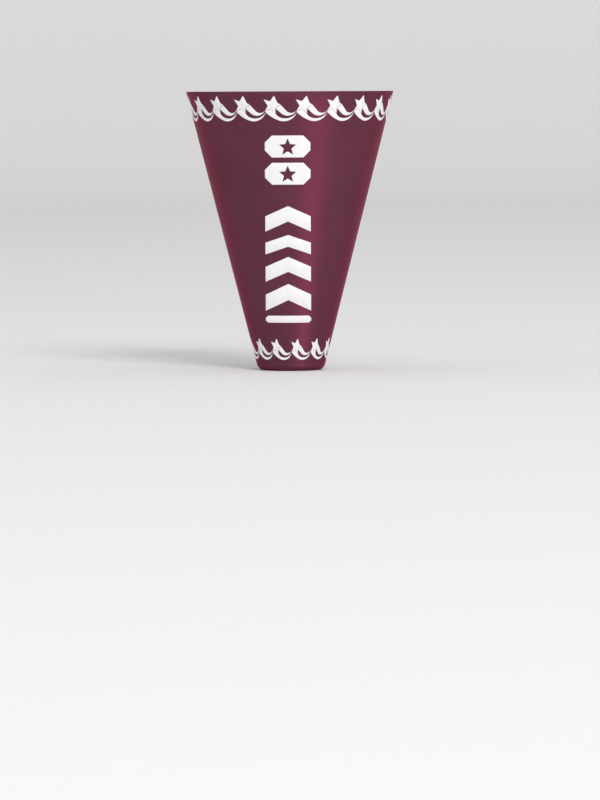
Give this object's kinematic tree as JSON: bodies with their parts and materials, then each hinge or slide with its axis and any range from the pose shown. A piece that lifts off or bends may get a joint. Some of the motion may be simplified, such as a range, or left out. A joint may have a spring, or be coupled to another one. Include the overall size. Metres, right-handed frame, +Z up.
{
  "type": "cheer megaphone",
  "caption": "Open cone rolled from thin plastic sheet, with a rounded mouth ring, a taped back seam, and white star, wave and chevron film graphics.",
  "frame": {"origin": "middle of the flat base under the mouth ring", "axes": "+Z up along the cone's axis to the bell, -Y towards the side with the front column, +X to the right seen from the front"},
  "size_m": [0.1488, 0.1488, 0.2],
  "materials": {
    "sheet": "satin gloss dark maroon",
    "ring": "satin gloss dark maroon",
    "tape": "matt translucent white",
    "film": "semi-gloss white"
  },
  "bodies": {
    "root": {"horn_sheet": "sheet", "mouth_ring": "ring", "seam_tape": "tape", "bell_motif_01": "film", "bell_motif_02": "film", "bell_motif_03": "film", "bell_motif_04": "film", "bell_motif_05": "film", "bell_motif_06": "film", "bell_motif_07": "film", "bell_motif_08": "film", "bell_motif_09": "film", "bell_motif_10": "film", "bell_motif_11": "film", "bell_motif_12": "film", "bell_motif_13": "film", "bell_motif_14": "film", "bell_motif_15": "film", "bell_motif_16": "film", "bell_motif_17": "film", "bell_motif_18": "film", "bell_motif_19": "film", "bell_motif_20": "film", "mouth_motif_01": "film", "mouth_motif_02": "film", "mouth_motif_03": "film", "mouth_motif_04": "film", "mouth_motif_05": "film", "mouth_motif_06": "film", "mouth_motif_07": "film", "mouth_motif_08": "film", "mouth_motif_09": "film", "mouth_motif_10": "film", "mouth_motif_11": "film", "mouth_motif_12": "film", "star_plate_1": "film", "star_plate_2": "film", "chevron_1": "film", "chevron_2": "film", "chevron_3": "film", "chevron_4": "film", "end_bar": "film"}
  },
  "joints": []
}
